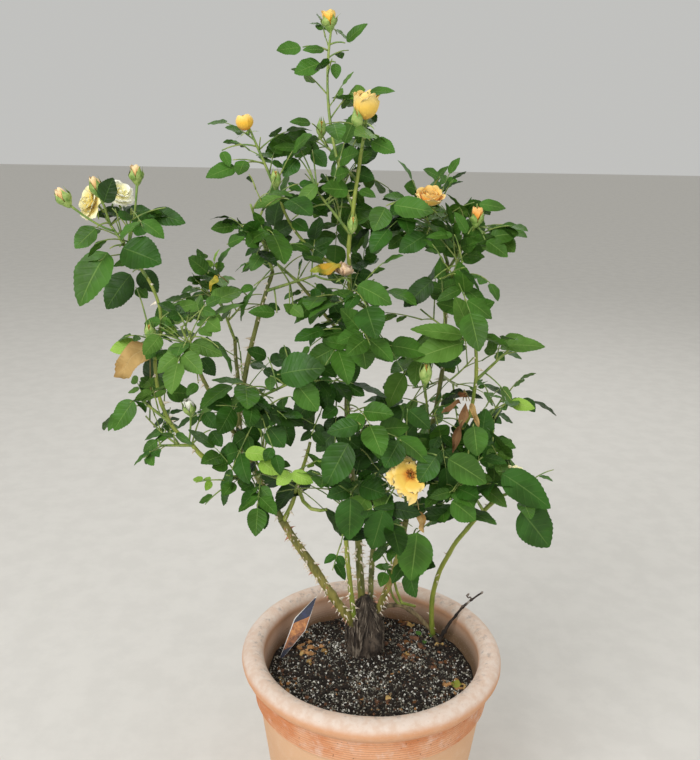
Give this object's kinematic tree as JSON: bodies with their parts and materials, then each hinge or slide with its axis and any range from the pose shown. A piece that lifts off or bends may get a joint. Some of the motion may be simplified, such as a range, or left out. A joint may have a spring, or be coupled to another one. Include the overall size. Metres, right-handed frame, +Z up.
{
  "type": "potted rose bush",
  "caption": "Rose bush with thorny green canes, serrated leaves, buds and pale yellow blooms, in a round terracotta pot of dark potting mix with a plant label.",
  "frame": {"origin": "centre of the pot's flat underside, on the ground", "axes": "+Z up along the pot's axis; +X to the right and +Y away from the viewer, as the picture shows the plant"},
  "size_m": [0.5955, 0.4208, 1.063],
  "materials": {
    "terracotta": "matte",
    "potting_mix": "matte",
    "green_bark": "satin",
    "old_bark": "matte",
    "label_card": "satin",
    "foliage": "satin",
    "petals": "matte"
  },
  "bodies": {
    "root": {"pot": "terracotta", "soil": "potting_mix", "graft_knuckle": "old_bark", "plant_label": "label_card", "cane_left": "green_bark", "cane_slim": "green_bark", "cane_centre": "green_bark", "cane_back": "green_bark", "cane_fourth": "green_bark", "cane_right": "green_bark", "dead_twig": "old_bark", "bough_left_fork": "green_bark", "bough_left_tall": "green_bark", "bough_left_back": "green_bark", "shoot_left_bend": "green_bark", "bough_far_left": "green_bark", "bough_left_inner": "green_bark", "bough_left_top": "green_bark", "stub_cut": "green_bark", "bough_centre": "green_bark", "bough_high": "green_bark", "bough_slanting": "green_bark", "bough_yellow_bud": "green_bark", "bough_right_tall": "green_bark", "bough_right_middle": "green_bark", "leaves_top_shoot": "foliage", "leaves_bloom_shoot": "foliage", "leaves_yellow_bud": "foliage", "leaves_left_cluster": "foliage", "leaves_right_crown": "foliage", "leaves_right_high": "foliage", "leaves_right_end": "foliage", "leaves_right_tip": "foliage", "leaves_low_right": "foliage", "leaves_far_left": "foliage", "leaves_far_left_low": "foliage", "leaves_centre_front": "foliage", "leaves_centre_top": "foliage", "leaves_centre_low": "foliage", "leaves_centre_middle": "foliage", "leaves_big_bloom": "foliage", "leaves_right_low": "foliage", "leaves_lime": "foliage", "leaves_right_light": "foliage", "leaves_hanging": "foliage", "leaves_upper_heart": "foliage", "leaves_dark_high": "foliage", "leaves_left_high": "foliage", "leaves_left_shoulder": "foliage", "leaves_spent_twig": "foliage", "leaves_left_middle": "foliage", "leaves_left_inner": "foliage", "leaves_left_drop": "foliage", "leaves_green_bud": "foliage", "leaves_right_middle": "foliage", "leaves_hook_shoot": "foliage", "leaves_back_left": "foliage", "leaves_back_low": "foliage", "leaves_back_right": "foliage", "leaves_back_high": "foliage"}
  },
  "joints": []
}
